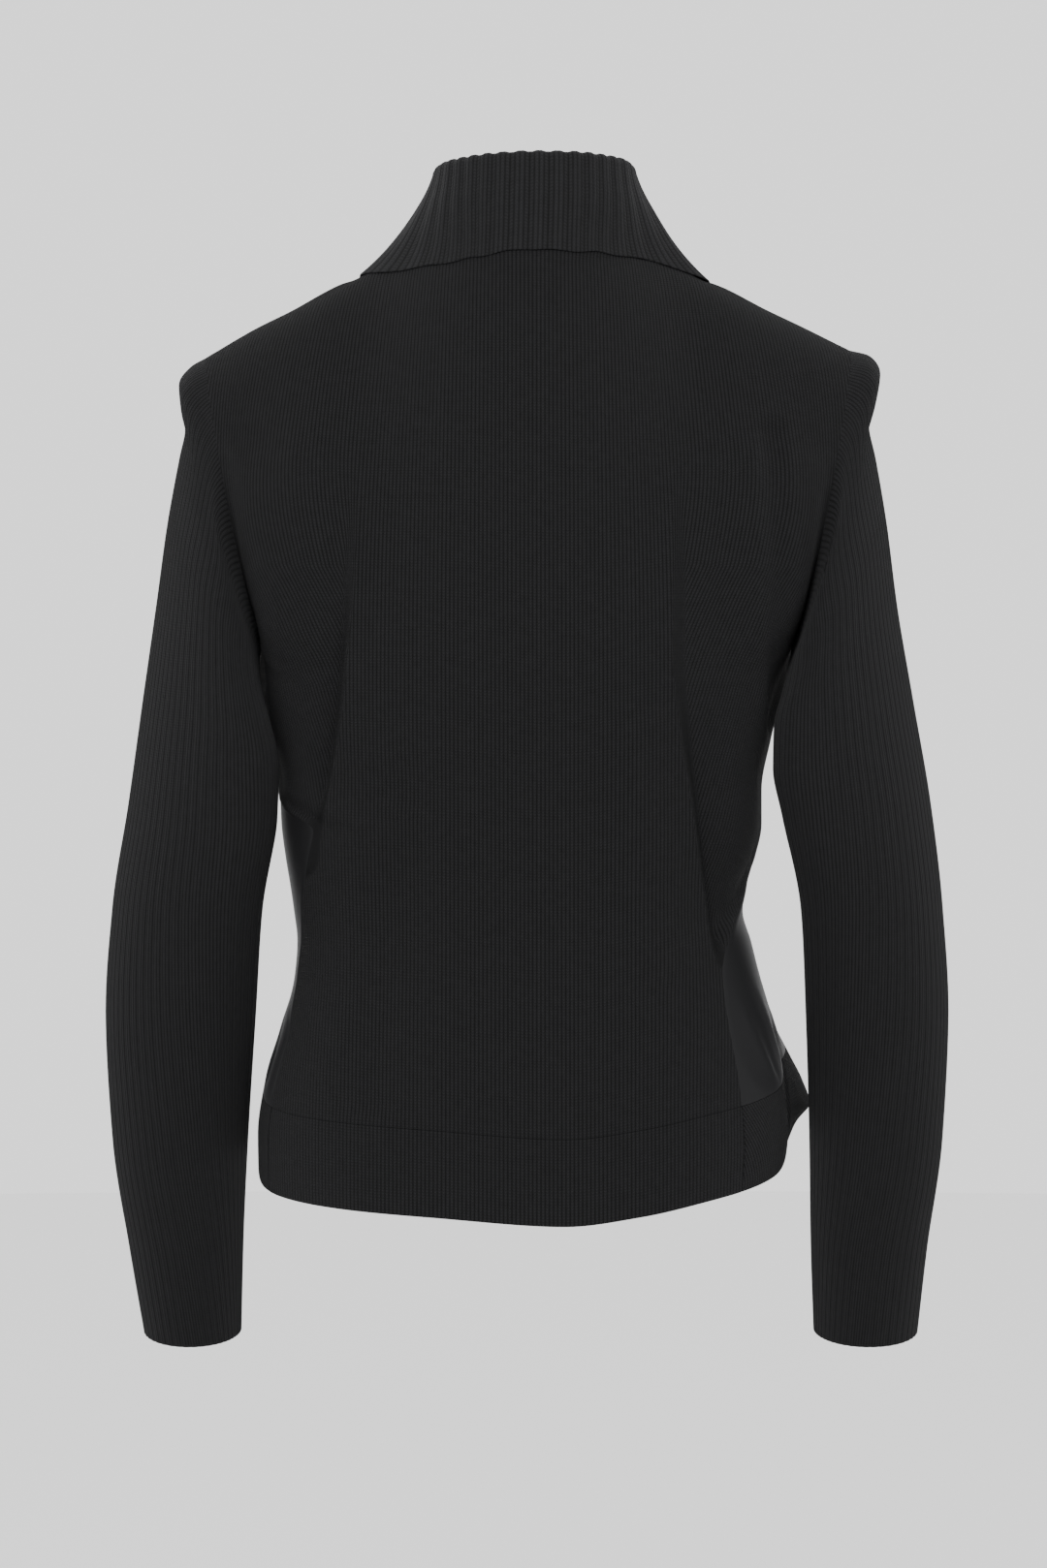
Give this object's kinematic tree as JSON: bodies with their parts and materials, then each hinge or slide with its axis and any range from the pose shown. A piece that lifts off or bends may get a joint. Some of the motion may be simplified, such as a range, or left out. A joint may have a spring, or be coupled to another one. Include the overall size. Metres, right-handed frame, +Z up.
{
  "type": "knit jacket",
  "caption": "Knit jacket in worn form: fold-over rib collar, long rib sleeves with rolled heads, jersey back, smooth open fronts and a deep knit hem band.",
  "frame": {"origin": "the middle of the neck opening, level with the highest points of the shoulder seams, where a wearer holds the jacket up", "axes": "+Z up, -Y out of the fronts, +Y out of the back, +X to the wearer's left"},
  "size_m": [0.5072, 0.2382, 0.7095],
  "materials": {
    "jersey_knit": "matt black jersey knit",
    "rib_knit": "matt black rib knit",
    "smooth_satin": "black satin-faced cloth with a soft sheen"
  },
  "bodies": {
    "root": {"back": "jersey_knit", "front_left": "smooth_satin", "front_right": "smooth_satin", "band_back": "jersey_knit", "band_left": "jersey_knit", "band_right": "jersey_knit", "collar": "rib_knit", "sleeve_left": "rib_knit", "sleeve_right": "rib_knit"}
  },
  "joints": []
}
